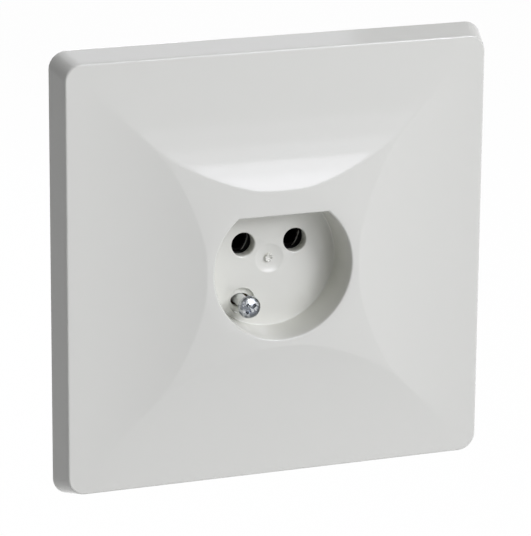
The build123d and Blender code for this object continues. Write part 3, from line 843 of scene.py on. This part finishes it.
def cover_skin():
    """Rings of the cover's one continuous skin, from the well's floor round to the back of that floor.
    Each is its points, its height above the ceiling and whether the relief is added to it."""
    rings = []

    def add_well(offset, height):
        rings.append((well_outline(offset), height, 0))

    def add_square(half, height):
        rings.append((square_outline(half), height, 0))

    for inward, up in quarter(FOOT_RADIUS):
        add_well(-WELL_TAPER - inward, FLOOR_HEIGHT + up)
    for height in spaced(FLOOR_HEIGHT + FOOT_RADIUS, CROWN_HEIGHT - LIP_RADIUS, 6)[1:]:
        add_well(-WELL_TAPER * (CROWN_HEIGHT - height) / (CROWN_HEIGHT - FLOOR_HEIGHT), height)
    for down, out in quarter(LIP_RADIUS, 7)[1:]:
        add_well(out, CROWN_HEIGHT - down)
    edge_centre = outside_at(RIM_HEIGHT - EDGE_RADIUS) - EDGE_RADIUS / math.cos(SIDE_DRAFT)
    face = face_rings(well_outline(LIP_RADIUS), square_outline(edge_centre), before=8, within=10, after=44)
    rings += [(ring, RIM_HEIGHT, 1) for ring in face[1:]]
    for a in arc(7, 0, 90 - math.degrees(SIDE_DRAFT))[1:]:
        add_square(edge_centre + EDGE_RADIUS * math.sin(a), RIM_HEIGHT - EDGE_RADIUS * (1 - math.cos(a)))
    side_top = rings[-1][1]
    ledge = RIM_HEIGHT - SIDE_DEPTH
    side_end = ledge + REAR_RADIUS
    for height in spaced(side_top, side_end + REAR_GUARD, 6)[1:] + [side_end]:
        add_square(outside_at(height), height)
    for up, inward in quarter(REAR_RADIUS)[1:]:
        add_square(outside_at(side_end) - inward, ledge + up)
    for out, down in quarter(REAR_RADIUS):
        add_square(SKIRT_HALF + out, ledge - down)
    for up, inward in quarter(REAR_RADIUS):
        add_square(SKIRT_HALF - inward, up)
    for out, up in quarter(REAR_RADIUS):
        add_square(inside_at(REAR_RADIUS) + out, up)
    back_height = RIM_HEIGHT - COVER_WALL
    for height in spaced(REAR_RADIUS, back_height - TURN_IN, 3)[1:]:
        add_square(inside_at(height), height)
    hollow_half = inside_at(back_height - TURN_IN)
    for down, inward in quarter(TURN_IN)[1:-1]:
        add_square(hollow_half - inward, back_height - down)
    tube = well_outline(TUBE_OFFSET + TUBE_FILLET)
    back = face_rings(tube, square_outline(hollow_half - TURN_IN), before=2, within=6, after=22)
    rings += [(ring, back_height, 1) for ring in reversed(back)]
    tube_top = back_height + RELIEF
    for out, down in quarter(TUBE_FILLET)[1:]:
        add_well(TUBE_OFFSET + out, tube_top - down)
    for height in spaced(tube_top - TUBE_FILLET, FLOOR_BACK + TUBE_BREAK, 3)[1:]:
        add_well(TUBE_OFFSET, height)
    for up, inward in quarter(TUBE_BREAK, 3)[1:]:
        add_well(TUBE_OFFSET - inward, FLOOR_BACK + up)
    return rings


PIN_HOLE_RADIUS = 2.35
PIN_ROUNDING = 0.3
PIN_BREAK = 0.1  # edge at the back
PIN_WALL_RING = 2.8  # height of a ring of points on the hole's wall
SCREW_AT = (-5.6, -8.2)
RECESS_RADIUS = 2.65
RECESS_FLOOR = 3.2
RECESS_BREAK = 0.12
RECESS_FILLET = 0.14
RECESS_FLAT = 0.5  # from the recess's wall to a ring of points on its floor
SLOT_RADIUS = 1.55
SLOT_STRETCH = (1.3, 0.86)  # the screw's hole is wider than it is high
SLOT_BREAK = 0.08
SLOT_BACK_BREAK = 0.06
ROUND = (1.0, 1.0)
ROUND_STEPS = 72
DIMPLE_RADIUS = 2.95
DIMPLE_DEPTH = 0.48
DIMPLE_BORDER = 0.12  # flat ring round the dimple
DIMPLE_END = 0.86  # radius at which the dish goes under the torn stub
DIMPLE_STEPS = 14
STUB = (  # radius and lift of the torn stub's rings
    (0.9, 0.03), (0.87, 0.3), (0.82, 0.46), (0.72, 0.52),
    (0.6, 0.48), (0.48, 0.3), (0.34, 0.16), (0.15, 0.12))
STUB_TILT = 0.3  # share by which one side of it is higher
STUB_HIGH_SIDE = 2.4  # angle of that side
TEAR_SEED = 7
TEAR_WAVES = 4
TEAR_SIZE = (0.02, 0.06)
TEAR_COUNT = (2, 7)  # of a wave's crests round the stub
TEAR_START = (0, 6.3)
JUST_INSIDE = 0.999  # share of an opening's size within which a face's middle lies in it
FLOOR_TOLERANCE = 1e-7


def rounded_rim(radius, soft, height, outwards):
    """Quarter round between a face and a hole's wall, as (radius, height) points from the face inwards."""
    return [(radius + out, height - outwards * down) for out, down in quarter(soft)]


def hole_sections():
    """Holes in the well's floor: the centre of each, and the radius, height and stretch of its rings."""
    pin = rounded_rim(PIN_HOLE_RADIUS, PIN_ROUNDING, FLOOR_HEIGHT, 1)
    pin += [(PIN_HOLE_RADIUS, PIN_WALL_RING)]
    pin += rounded_rim(PIN_HOLE_RADIUS, PIN_BREAK, FLOOR_BACK, -1)[::-1]
    recess = rounded_rim(RECESS_RADIUS, RECESS_BREAK, FLOOR_HEIGHT, 1)
    recess += [(RECESS_RADIUS - inward, RECESS_FLOOR + up) for up, inward in quarter(RECESS_FILLET)]
    recess += [(RECESS_RADIUS - RECESS_FLAT, RECESS_FLOOR)]
    slot = rounded_rim(SLOT_RADIUS, SLOT_BREAK, RECESS_FLOOR, 1)
    slot += rounded_rim(SLOT_RADIUS, SLOT_BACK_BREAK, FLOOR_BACK, -1)[::-1]
    pin_rings = [(*ring, ROUND) for ring in pin]
    screw_rings = [(*ring, ROUND) for ring in recess] + [(*ring, SLOT_STRETCH) for ring in slot]
    return [(PIN_HOLES[0], pin_rings), (PIN_HOLES[1], pin_rings), (SCREW_AT, screw_rings)]


def dimple_rings():
    """Dished spot of the moulding gate, with the torn stub in its middle, as rings of (radius, heights)."""
    torn = random.Random(TEAR_SEED)
    dish = (DIMPLE_RADIUS**2 + DIMPLE_DEPTH**2) / (2 * DIMPLE_DEPTH)
    rings = []
    for radius in spaced(DIMPLE_RADIUS + DIMPLE_BORDER, DIMPLE_END, DIMPLE_STEPS):
        depth = max(DIMPLE_DEPTH - dish + math.sqrt(dish**2 - radius**2), 0)
        rings.append((radius, [FLOOR_HEIGHT - depth] * ROUND_STEPS))
    base = FLOOR_HEIGHT - DIMPLE_DEPTH
    waves = []
    for _ in range(TEAR_WAVES):
        waves.append((torn.uniform(*TEAR_SIZE), torn.randint(*TEAR_COUNT), torn.uniform(*TEAR_START)))
    for radius, lift in STUB:
        heights = []
        for angle in around(ROUND_STEPS):
            ragged = sum(size * math.sin(count * angle + start) for size, count, start in waves)
            tilt = STUB_TILT * math.cos(angle - STUB_HIGH_SIDE)
            heights.append(base + lift * (1 + tilt) + ragged * min(lift * 2, 1))
        rings.append((radius, heights))
    return rings, base + STUB[-1][1]


def cover_form():
    """The cover before its relief: skin, floor, holes and dimple as one closed mesh."""
    form = bmesh.new()
    share_of = form.verts.layers.float.new("relief_share")

    def ring_of(points, heights, share=0.0):
        ring = []
        for (x, z), height in zip(points, heights):
            vert = form.verts.new((x * MM, -height * MM, z * MM))
            vert[share_of] = share
            ring.append(vert)
        return ring

    def oval(centre, radius, stretch=ROUND):
        wide, high = radius * stretch[0], radius * stretch[1]
        return [(centre[0] + wide * math.cos(a), centre[1] + high * math.sin(a)) for a in around(ROUND_STEPS)]

    def floor_between(outline, openings):
        """Flat floor inside an outline, with openings given by the ring, centre and size of each."""
        verts, edges = [], []
        for rim in [outline] + [ring for ring, _, _ in openings]:
            edges += [(len(verts) + k, len(verts) + (k + 1) % len(rim)) for k in range(len(rim))]
            verts += rim
        flat = [(v.co.x / MM, v.co.z / MM) for v in verts]
        _, _, faces, sources, _, _ = delaunay_2d_cdt(flat, edges, [], 0, FLOOR_TOLERANCE)
        for corners in faces:
            x, z = (sum(flat[sources[c][0]][axis] for c in corners) / 3 for axis in (0, 1))
            away = [math.hypot((x - cx) / wide, (z - cz) / high) for _, (cx, cz), (wide, high) in openings]
            if min(away) > JUST_INSIDE:
                form.faces.new([verts[sources[c][0]] for c in corners])

    skin = [ring_of(points, [height] * len(points), share) for points, height, share in cover_skin()]
    bridge(form, skin)
    front, back = [], []
    for centre, section in hole_sections():
        rings = [ring_of(oval(centre, r, stretch), [height] * ROUND_STEPS) for r, height, stretch in section]
        bridge(form, rings)
        for openings, end in ((front, 0), (back, -1)):
            radius, _, stretch = section[end]
            openings.append((rings[end], centre, [radius * s for s in stretch]))
    sections, tip_height = dimple_rings()
    dimple = [ring_of(oval((0, 0), radius), heights) for radius, heights in sections]
    tip = form.verts.new((0, -tip_height * MM, 0))
    bridge(form, dimple + [[tip] * ROUND_STEPS])
    front.append((dimple[0], (0, 0), [sections[0][0]] * 2))
    floor_between(skin[0], front)
    floor_between(skin[-1], back)
    bmesh.ops.recalc_face_normals(form, faces=form.faces)
    return piece_of("cover_moulding", form)


FACE_SIZES = {
    "Relief": RELIEF, "Scoop start": SCOOP_START, "Scoop radius": SCOOP_RADIUS, "Blend start": BLEND_START,
    "Blend end": BLEND_END, "Blend radius": CROWN_BLEND, "Arm slope": math.tan(CROWN_SLOPE),
    "Arm reach": ARM_REACH, "Crease softness": CREASE_SOFTNESS}


def relief_rule():
    """Rule of the cover's face: the lowest of four scoops and the crown, with softened creases."""
    inputs = {"Geometry": "Geometry"} | dict.fromkeys(FACE_SIZES, "Float") | {"Material": "Material"}
    rule, size = new_rule("face_relief", inputs)
    across, _, up = rule.node("GeometryNodeInputPosition").axes()
    across, up = abs(across / MM), abs(up / MM)

    def scoop(distance):
        run = rule.math("MAXIMUM", size["Scoop start"] - distance, 0.0)
        return size["Scoop radius"] - rule.math("SQRT", size["Scoop radius"] ** 2 - run * run)

    reach = rule.math("SQRT", across * across + up * up)
    past_start = rule.math("MAXIMUM", reach - size["Blend start"], 0.0)
    bend = rule.math("MINIMUM", past_start, size["Blend end"] - size["Blend start"])
    curved = size["Blend radius"] - rule.math("SQRT", size["Blend radius"] ** 2 - bend * bend)
    arm = rule.math("MAXIMUM", rule.math("MINIMUM", reach, size["Arm reach"]) - size["Blend end"], 0.0)
    crown = size["Relief"] - curved - arm * size["Arm slope"]
    scoops = rule.math("SMOOTH_MIN", scoop(across), scoop(up), size["Crease softness"])
    rise = rule.math("SMOOTH_MIN", scoops, crown, size["Crease softness"])
    share = rule.node("GeometryNodeInputNamedAttribute", {"data_type": "FLOAT"}, {"Name": "relief_share"})
    lift = rule.node("ShaderNodeCombineXYZ", {}, {"Y": rise * share * (-MM)})
    moved = rule.node("GeometryNodeSetPosition", {}, {"Geometry": size["Geometry"], "Offset": lift})
    return close_rule(rule, moved, size["Material"])


RIB_HALF = 0.55
RIB_DRAFT = math.radians(0.5)
RIB_START = 0.6  # from the well's mouth, inside its wall
RIB_SINK = 1.0  # by which a rib's top and far end lie in the plate


def rib_form():
    """One drafted rib along the diagonal, from inside the well's wall to inside the plate's corner."""
    near = MOUTH_RADIUS + RIB_START
    far = square_reach(math.radians(45), PLATE_HALF - RIB_SINK)
    top_half = RIB_HALF + (RIM_HEIGHT - FLOOR_HEIGHT) * math.tan(RIB_DRAFT)
    foot = (RIB_HALF, FLOOR_HEIGHT, FLOOR_HEIGHT)
    top = (top_half, CROWN_HEIGHT - RIB_SINK, RIM_HEIGHT - RIB_SINK)
    rows = []
    for half, near_height, far_height in (foot, top):
        corners = swung([(near, -half), (far, -half), (far, half), (near, half)], 45)
        heights = (near_height, far_height, far_height, near_height)
        rows.append([(x, -height, z) for (x, z), height in zip(corners, heights)])
    return lofted("rib_form", rows)


SHEEN_SIZE = 9.0
GRAIN_SIZE = 0.25
PEEL_SIZE = 0.7
SPECK_SPACING = 9.0
SPECK_RADIUS = (0.008, 0.016)  # where a speck starts and ends to fade, as shares of the spacing
SPECK_CHOICE = (0.6, 0.62)  # cells whose own value is past this have a speck
WHITE_COOL = (0.685, 0.69, 0.63, 1)
WHITE_WARM = (0.695, 0.695, 0.636, 1)
SPECK = (0.16, 0.15, 0.13, 1)

white_moulding, tree, place = new_finish("white_moulding")
sheen = noise(tree, place, SHEEN_SIZE)
grain = noise(tree, place, GRAIN_SIZE)
peel = noise(tree, place, PEEL_SIZE)
cells = tree.node("ShaderNodeTexVoronoi", {}, {"Vector": place, "Scale": 1 / (SPECK_SPACING * MM)})
picked = tree.node("ShaderNodeSeparateColor", {}, {"Color": cells.beside("Color")}, "Red")
specks = (1 - step_between(tree, cells, *SPECK_RADIUS)) * step_between(tree, picked, *SPECK_CHOICE)
clean = tint(tree, sheen * 0.4 + grain * 0.6, WHITE_COOL, WHITE_WARM)
close_finish(tree, {
    "Base Color": tint(tree, specks * 0.75, clean, SPECK),
    "Roughness": 0.05 + sheen * 0.02 + grain * 0.02 + specks * 0.3,
    "IOR": 1.5,
    "Normal": relief_normal(tree, peel, 0.0015),
})
cover = cover_form()
shaped = cover.modifiers.new("relief", "NODES")
shaped.node_group = relief_rule()
set_inputs(shaped, FACE_SIZES | {"Material": white_moulding})
settle(cover)
rib_places = [((0, 0, 0), (0, turn, 0)) for turn in (0, 90, 180, 270)]
combine(cover, place_copies("cover_ribs", rib_form(), rib_places, white_moulding), "UNION")
smooth_off(cover)
dress(cover, white_moulding)
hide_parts("cover_plate", "well_floor")

# Cover screw: a zinc-plated machine screw with a domed cross head, a plain waist and a fine thread. It
# turns in the brass bush of the block, and stands partly backed out of its recess in the well.

HEAD_SEAT = 8.0  # height of the underside of its head above the ceiling
COVER_HEAD_RADIUS = 2.25
COVER_HEAD_HEIGHT = 1.7
COVER_HEAD_RIM = 0.42
COVER_HEAD_ROUND = 96  # points round it
COVER_SCREW_LENGTH = 12.0
WAIST_RADIUS = 1.2
WAIST_LENGTH = 6.8  # plain part of the shank under the head
WAIST_LAP = 0.6  # by which the waist runs on inside the thread
NECK = ((1.42, 0.02), (1.27, 0.12), (WAIST_RADIUS, 0.25))  # radius and depth, where the waist meets the head
PALE_SHANK_FADE = 0.2  # depth over which the bright head turns into the shank, which is painted pale and duller as a painted reflection of the white surround
SHANK_PAINTED_LIGHT = (0.8, 0.82, 0.8, 1)

screw_plate, tree, place = new_finish("cover_screw_plate")
look = zinc_look(tree, place)
# Painted light: the shank is painted pale, less metallic and rougher, standing in for the white surround that
# it reflects.
painted_light_share = step_between(tree, place.axes()[1], -HEAD_SEAT * MM, (PALE_SHANK_FADE - HEAD_SEAT) * MM)
look["Base Color"] = tint(tree, painted_light_share, look["Base Color"], SHANK_PAINTED_LIGHT)
look["Metallic"] = 1 - painted_light_share * 0.6
look["Roughness"] = look["Roughness"] + painted_light_share * 0.3
close_finish(tree, look)
cover_head = pan_profile(COVER_HEAD_RADIUS, COVER_HEAD_HEIGHT, COVER_HEAD_RIM)
cover_screw = turned("cover_screw", cover_head, COVER_HEAD_ROUND)
cover_cross = cross_cutter(span=2.7, width=0.72, depth=1.1, height=COVER_HEAD_HEIGHT)
combine(cover_screw, cover_cross, "DIFFERENCE")
waist_profile = [(0, -SHANK_OVERLAP), (NECK[0][0], -SHANK_OVERLAP), *NECK]
waist_profile += [(WAIST_RADIUS, WAIST_LENGTH + WAIST_LAP), (0, WAIST_LENGTH + WAIST_LAP)]
combine(cover_screw, turned("cover_waist", waist_profile, SMALL_ROUND), "UNION")
cover_shank = threaded_shank(
    "cover_shank", screw_plate, core=1.02, crest=1.25, pitch=0.45, length=COVER_SCREW_LENGTH - WAIST_LENGTH,
    chamfer=0.5)
join_shank(cover_screw, cover_shank, WAIST_LENGTH)
cover_screw.data.transform(Matrix.Translation((SCREW_AT[0] * MM, -HEAD_SEAT * MM, SCREW_AT[1] * MM)))
smooth_off(cover_screw)
dress(cover_screw, screw_plate)
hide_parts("cover_screw")

# The room: a pale floor well below the outlet and an even white surround. A small bright lamp and a broad
# softbox, with a brighter core and a soft lower edge, stand at the front right, two lamps hang overhead
# and one stands behind. The camera has the photograph's angle.

FLOOR_DROP = 0.25
FLOOR_REACH = 4.0
FLOOR_CORNERS = ((-1, -1), (1, -1), (1, 1), (-1, 1))
FLOOR_GREY = (0.82, 0.82, 0.82, 1)
FLOOR_GLOW = 0.985  # share of white in what is seen of the floor
WHITE = (1, 1, 1, 1)
AMBIENT = 0.06
LAMP_COLOUR = (1.0, 1.0, 1.08)
LAMP_DISTANCE = 1.0
LAMPS = {  # azimuth and elevation in degrees, width and height in metres, and brightness against white
    "main_lamp": (37, 26, 0.4, 0.3, 9.2),
    "key_softbox": (20, 17.75, 0.6, 0.325, 4.0),
    "key_core": (20, 19, 0.3, 0.26, 1.5),
    "key_skirt": (20, 4.2, 0.7, 0.13, 0.55),
    "key_edge": (20, 6.9, 0.7, 0.056, 0.9),
    "overhead_front": (20, 48, 0.4, 0.3, 5.4),
    "overhead_back": (180, 52, 0.8, 0.6, 0.8),
    "back_softbox": (187, 20, 0.9, 0.7, 4.0),
}
CAMERA_AZIMUTH = -20.3897
CAMERA_ELEVATION = 16.4766
CAMERA_ROLL = math.radians(-0.4595)
EYE = (-0.2200, -0.59405, 0.18418)
FOCAL_PIXELS = 3372.16
IMAGE_HEIGHT = 536


def seen_directly(tree):
    """1 for what the camera sees, also by reflection or through glass."""
    camera_ray = tree.node("ShaderNodeLightPath", output="Is Camera Ray")
    mirrored = tree.math("MAXIMUM", camera_ray, camera_ray.beside("Is Glossy Ray"))
    return tree.math("MAXIMUM", mirrored, camera_ray.beside("Is Transmission Ray"))


floor_mesh = bpy.data.meshes.new("floor")
floor_points = [(x * FLOOR_REACH, y * FLOOR_REACH, -FLOOR_DROP) for x, y in FLOOR_CORNERS]
floor_mesh.from_pydata(floor_points, [], [(0, 1, 2, 3)])
floor = add_piece("floor", floor_mesh)
pale_floor, tree, place = new_finish("pale_floor")
matt = tree.node("ShaderNodeBsdfDiffuse", {}, {"Color": FLOOR_GREY})
glow = tree.node("ShaderNodeEmission", {}, {"Color": WHITE, "Strength": 1.0})
mixed = tree.node("ShaderNodeMixShader", {}, {0: seen_directly(tree) * FLOOR_GLOW, 1: matt, 2: glow})
tree.node("ShaderNodeOutputMaterial", {}, {"Surface": mixed})
floor.data.materials.append(pale_floor)

world = bpy.data.worlds.new("white_surround")
bpy.context.scene.world = world
world.use_nodes = True
world.node_tree.nodes.clear()
tree = Wire(world.node_tree)
dim = tree.node("ShaderNodeBackground", {}, {"Color": WHITE, "Strength": AMBIENT})
bright = tree.node("ShaderNodeBackground", {}, {"Color": WHITE, "Strength": 1.0})
surround = tree.node("ShaderNodeMixShader", {}, {0: seen_directly(tree), 1: dim, 2: bright})
tree.node("ShaderNodeOutputWorld", {}, {"Surface": surround})


def facing(azimuth, elevation):
    """Side, up and back directions of what looks at the outlet from an azimuth and elevation in degrees."""
    azimuth, elevation = math.radians(azimuth), math.radians(elevation)
    level, rise = math.cos(elevation), math.sin(elevation)
    side = (math.cos(azimuth), math.sin(azimuth), 0)
    up = (-math.sin(azimuth) * rise, math.cos(azimuth) * rise, level)
    back = (math.sin(azimuth) * level, -math.cos(azimuth) * level, rise)
    return side, up, back


def stand(name, data, side, up, back, place):
    """Adds a lamp or camera at a place, with its own directions."""
    stood = add_piece(name, data)
    stood.matrix_world = Matrix([*zip(side, up, back, place), (0, 0, 0, 1)])
    return stood


for name, (azimuth, elevation, width, height, brightness) in LAMPS.items():
    lamp = bpy.data.lights.new(name, "AREA")
    lamp.shape = "RECTANGLE"
    lamp.size = width
    lamp.size_y = height
    lamp.color = LAMP_COLOUR
    lamp.energy = brightness * math.pi * width * height
    side, up, back = facing(azimuth, elevation)
    stand(name, lamp, side, up, back, [c * LAMP_DISTANCE for c in back])

side, up, back = facing(CAMERA_AZIMUTH, CAMERA_ELEVATION)
c, s = math.cos(CAMERA_ROLL), math.sin(CAMERA_ROLL)
right = [c * a - s * b for a, b in zip(side, up)]
above = [c * b + s * a for a, b in zip(side, up)]
lens = bpy.data.cameras.new("camera")
lens.sensor_fit = "VERTICAL"
lens.sensor_height = 36.0
lens.lens = FOCAL_PIXELS / IMAGE_HEIGHT * lens.sensor_height
bpy.context.scene.camera = stand("camera", lens, right, above, back, EYE)
bpy.context.scene.view_settings.view_transform = "Standard"
